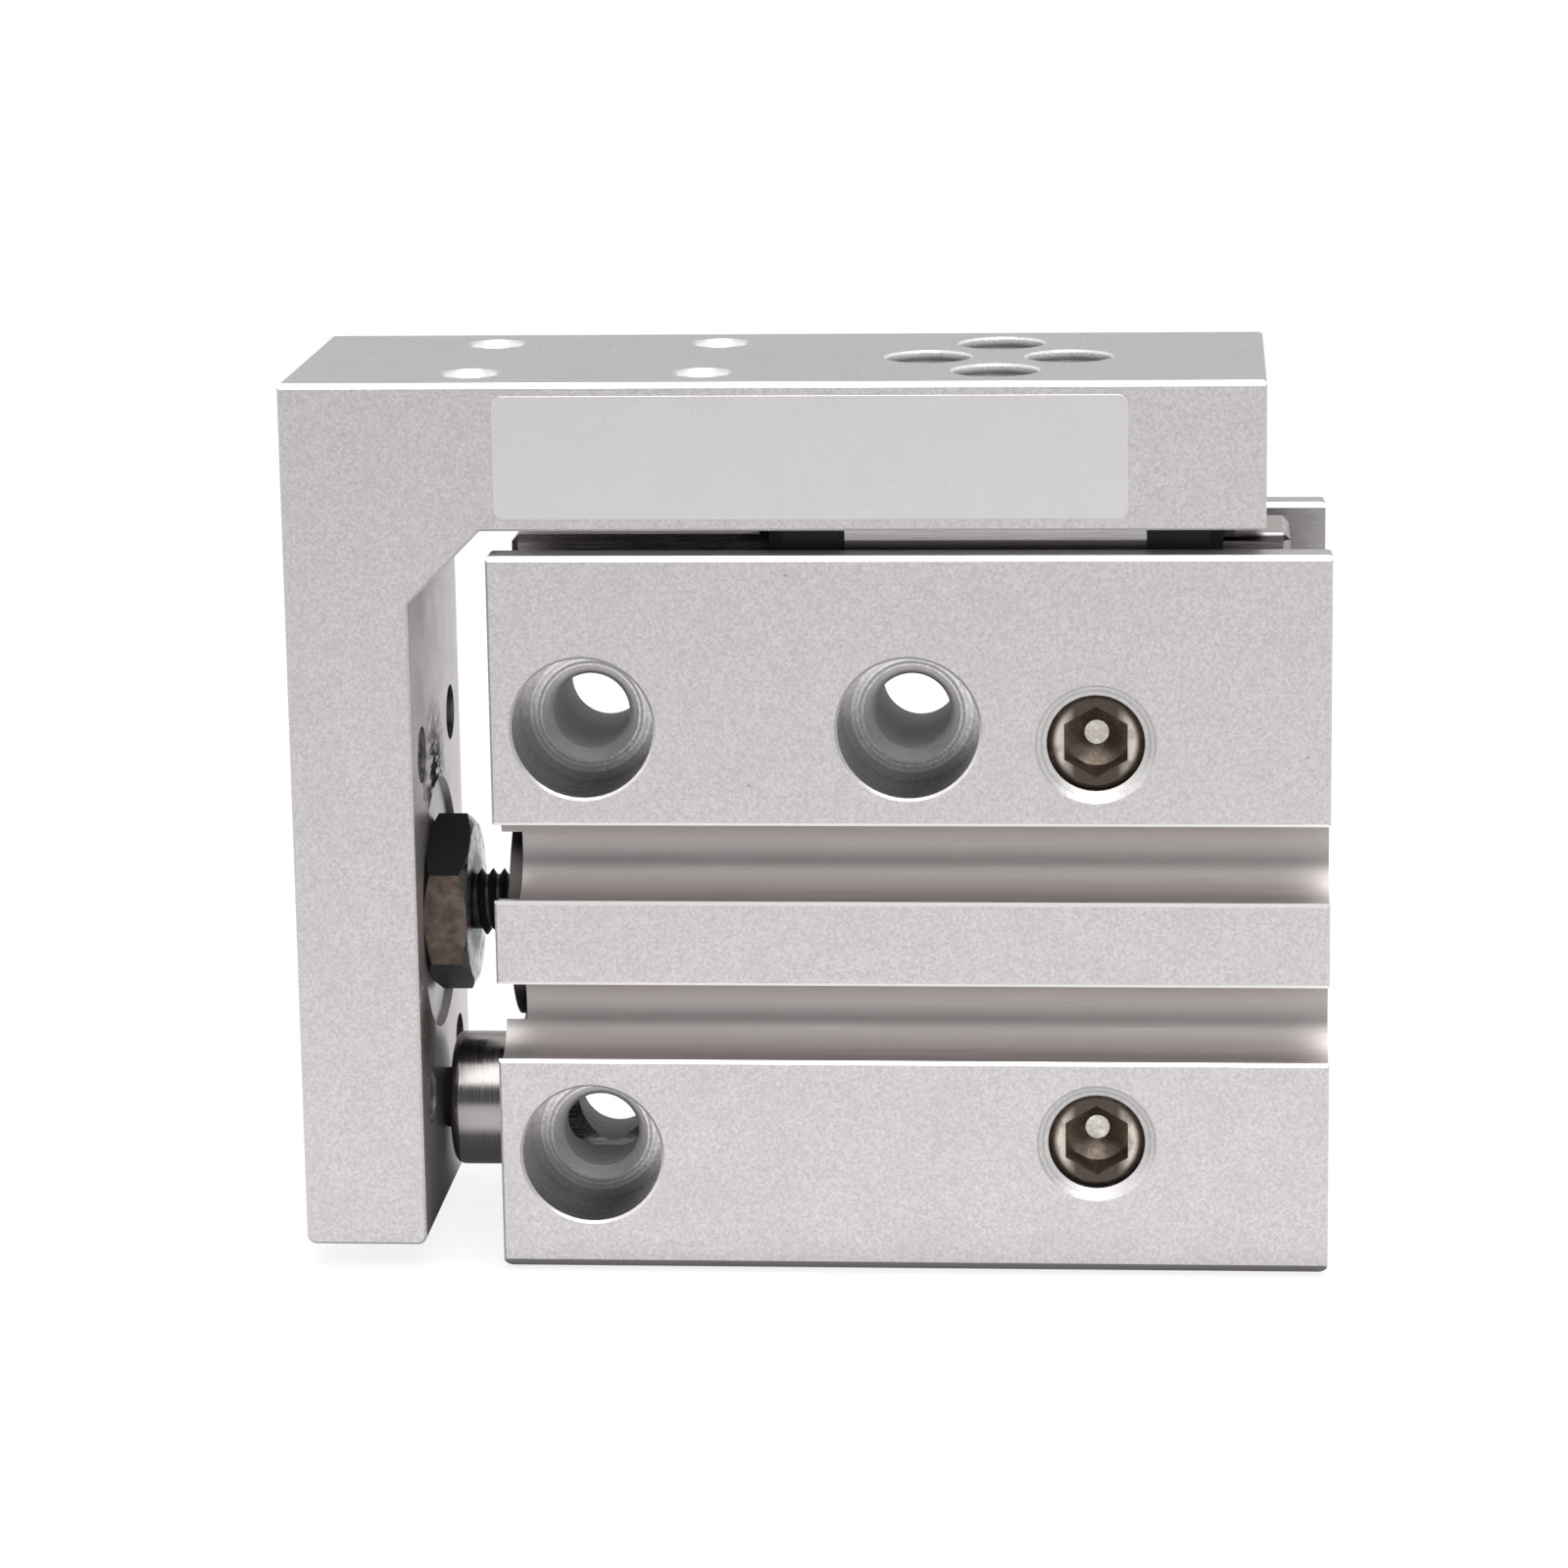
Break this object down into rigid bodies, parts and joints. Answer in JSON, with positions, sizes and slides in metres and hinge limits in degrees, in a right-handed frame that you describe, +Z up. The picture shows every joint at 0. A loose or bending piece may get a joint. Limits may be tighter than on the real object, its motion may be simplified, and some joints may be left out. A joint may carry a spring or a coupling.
{
  "type": "slide table cylinder",
  "caption": "Compact pneumatic slide: an L-shaped table on a recirculating ball guide, moved by a cylinder inside the grooved block below.",
  "frame": {"origin": "middle of the housing's bottom face", "axes": "+X along the stroke from the rod end to the head end, +Y from the grooved front face to the back face, +Z up through the guide and the table"},
  "size_m": [0.0447, 0.015, 0.0391],
  "materials": {
    "anodised_aluminium": "satin anodised",
    "guide_steel": "ground",
    "stainless": "turned",
    "black_steel": "black oxide",
    "black_plastic": "moulded",
    "black_rubber": "matte",
    "magnet": "sintered"
  },
  "bodies": {
    "housing": {"housing": "anodised_aluminium", "guide_rail": "guide_steel", "rail_screws": "stainless", "rod_cover": "anodised_aluminium", "rod_cover_ring": "black_rubber", "rod_seal": "black_rubber", "rod_bumper": "black_rubber", "head_cap": "anodised_aluminium", "head_cap_ring": "black_rubber", "head_snap_ring": "black_steel", "head_bumper": "black_rubber", "port_plug_upper": "black_steel", "port_plug_lower": "black_steel", "passage_plugs": "stainless", "stop_bolt": "stainless", "stop_bumper": "black_rubber"},
    "table": {"slide_table": "anodised_aluminium", "guide_block": "guide_steel", "end_cap_rod": "black_plastic", "end_cap_head": "black_plastic", "end_seal_rod": "black_rubber", "end_seal_head": "black_rubber", "end_cap_screws": "stainless", "ball_circuit_front": "guide_steel", "ball_circuit_back": "guide_steel", "table_screws": "stainless", "piston_rod": "stainless", "lock_nut": "black_steel", "piston": "anodised_aluminium", "piston_seal": "black_rubber", "piston_magnet": "magnet"}
  },
  "joints": [
    {"name": "table_slide", "type": "slide", "parent": "housing", "child": "table", "axis": [-1, 0, 0], "range_m": [0, 0.005]}
  ]
}
